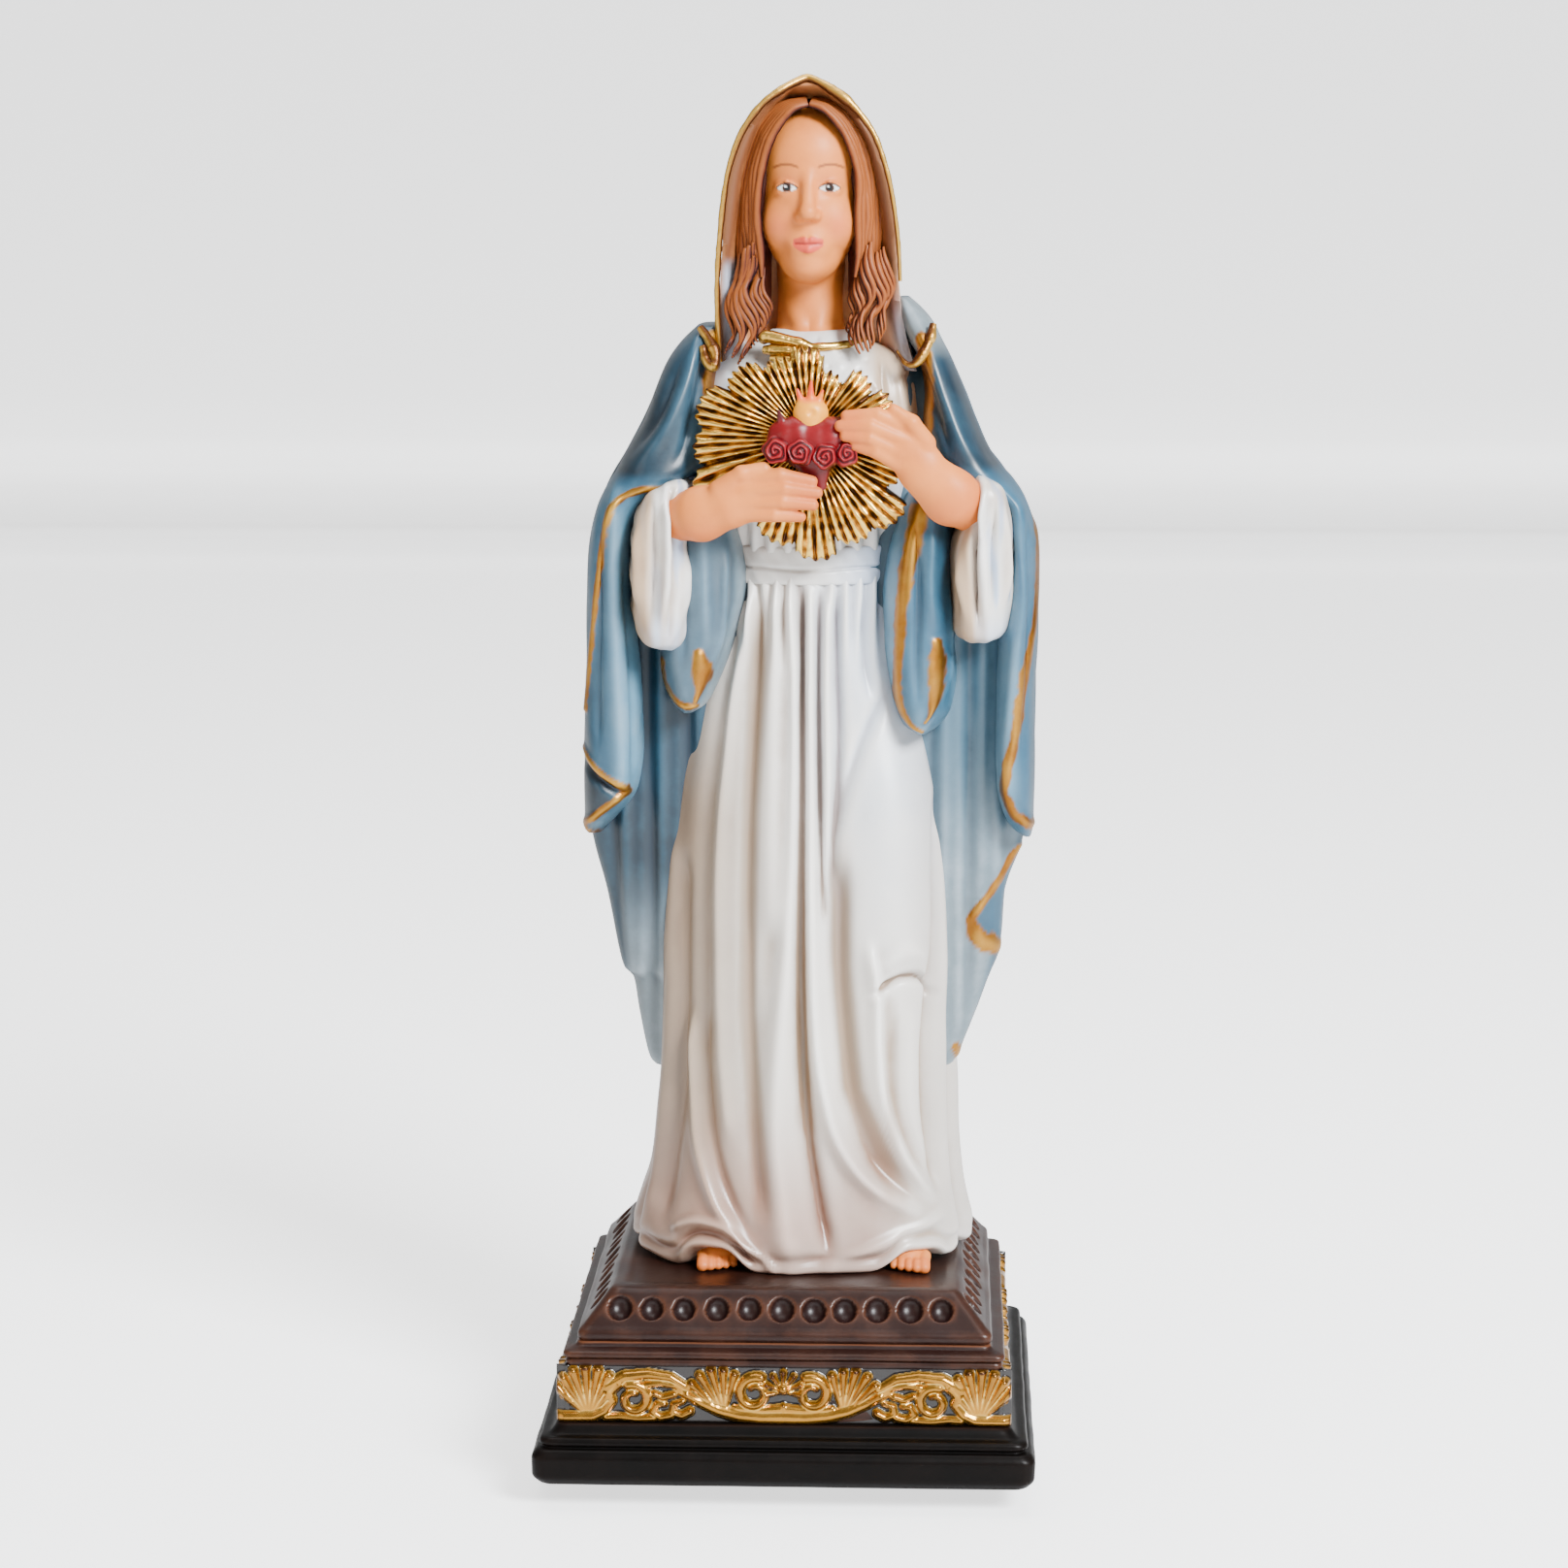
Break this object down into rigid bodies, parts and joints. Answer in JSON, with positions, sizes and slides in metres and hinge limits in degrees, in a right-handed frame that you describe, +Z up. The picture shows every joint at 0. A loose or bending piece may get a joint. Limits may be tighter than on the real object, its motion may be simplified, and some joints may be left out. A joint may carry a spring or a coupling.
{
  "type": "madonna statuette",
  "caption": "Painted cast-resin standing madonna in a white robe and blue mantle, hands at a radiant heart, on a dimpled square plinth with a gold frieze.",
  "frame": {"origin": "centre of the plinth's underside, which stands on the surface", "axes": "+Z up along the figure's height, the figure faces -Y, +X is on the figure's left hand side"},
  "size_m": [0.05, 0.05, 0.1379],
  "materials": {
    "plinth_black": "near-black brown gloss varnish",
    "plinth_brown": "reddish-brown gloss varnish",
    "gold_paint": "metallic gold paint with dark brown in the hollows",
    "robe_white": "pearl white paint, satin, shaded pinkish beige in the folds",
    "flesh": "warm flesh paint, satin",
    "hair_brown": "mid-brown paint, darker in the grooves",
    "veil_cream": "white paint with a tan and gold border",
    "mantle_blue": "teal-blue paint, satin, lighter on the ridges, gold hems",
    "heart_red": "crimson paint, satin",
    "flame_yellow": "yellow-orange paint"
  },
  "bodies": {
    "root": {"plinth_foot": "plinth_black", "plinth_frieze_block": "plinth_black", "plinth_moulding": "plinth_brown", "plinth_top": "plinth_brown", "frieze_front": "gold_paint", "frieze_back": "gold_paint", "frieze_right": "gold_paint", "frieze_left": "gold_paint", "robe_skirt": "robe_white", "sash": "robe_white", "robe_bodice": "robe_white", "collar_band": "gold_paint", "head": "flesh", "hair": "hair_brown", "right_lock": "hair_brown", "left_lock": "hair_brown", "veil": "veil_cream", "mantle_back": "mantle_blue", "mantle_right_front": "mantle_blue", "mantle_left_front": "mantle_blue", "right_lappet": "mantle_blue", "left_lappet": "mantle_blue", "right_sleeve": "robe_white", "left_sleeve": "robe_white", "right_hand": "flesh", "left_hand": "flesh", "ray_burst": "gold_paint", "heart": "heart_red", "rose_garland": "heart_red", "flame": "flame_yellow", "right_foot": "flesh", "left_foot": "flesh"}
  },
  "joints": []
}
